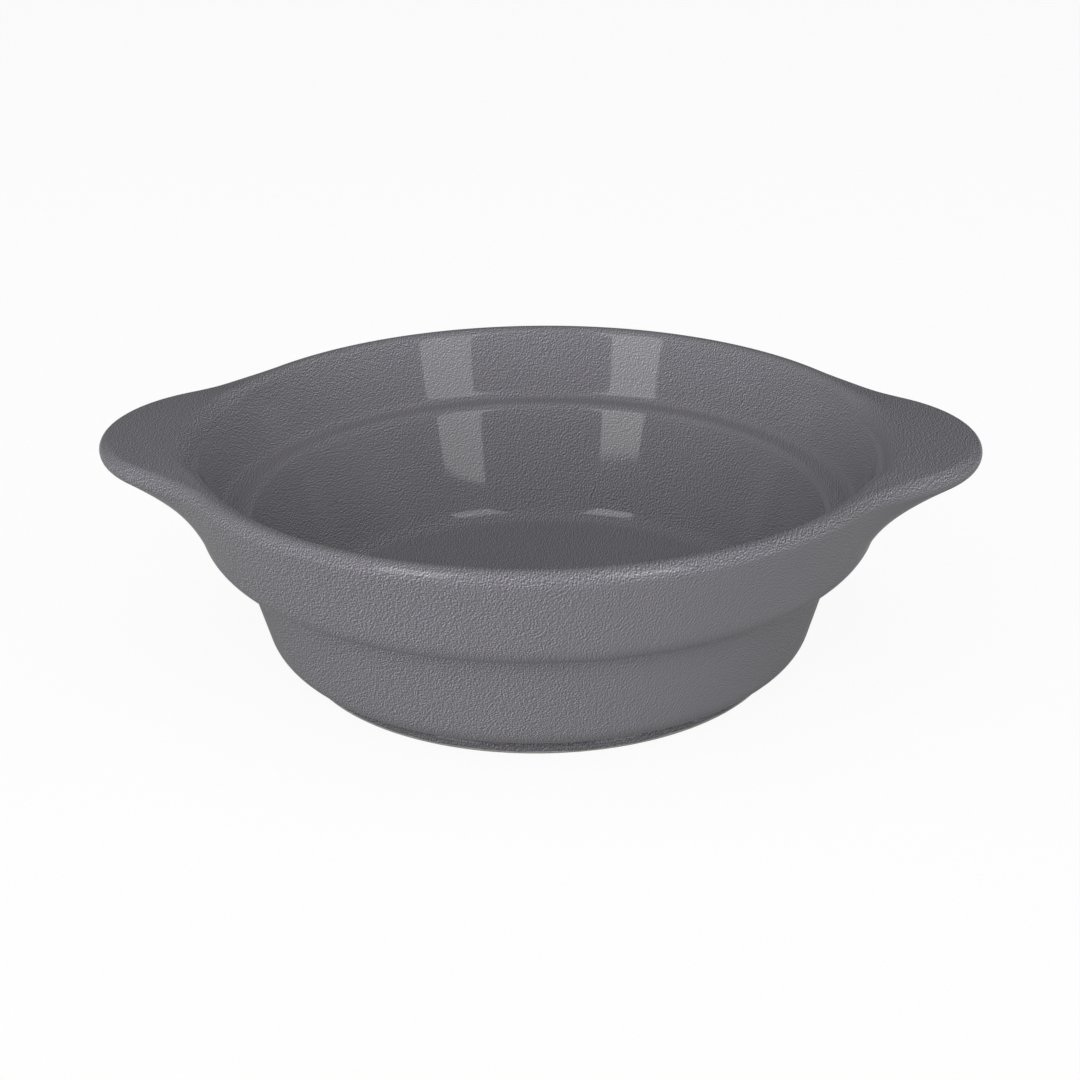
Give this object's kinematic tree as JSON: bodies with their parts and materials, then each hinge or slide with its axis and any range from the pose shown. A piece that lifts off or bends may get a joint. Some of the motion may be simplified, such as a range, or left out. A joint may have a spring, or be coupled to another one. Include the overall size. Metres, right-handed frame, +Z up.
{
  "type": "lugged serving dish",
  "caption": "Round stepped dish in grey glazed ceramic with flat lugs either side of its rim and a low foot, for serving or baking small portions.",
  "frame": {"origin": "on the table, under the middle of the bowl, at the height of the foot ring's dry face", "axes": "+Z up through the bowl's axis, +X towards the right lug, +Y away from the viewer in the picture"},
  "size_m": [0.1834, 0.15, 0.0488],
  "materials": {
    "grey_glaze": "glossy glaze with a fine pebbled grain",
    "dry_clay": "bare fired clay on the resting face"
  },
  "bodies": {
    "root": {"bowl_body": "grey_glaze", "left_lug": "grey_glaze", "right_lug": "grey_glaze", "foot_ring": "dry_clay"}
  },
  "joints": []
}
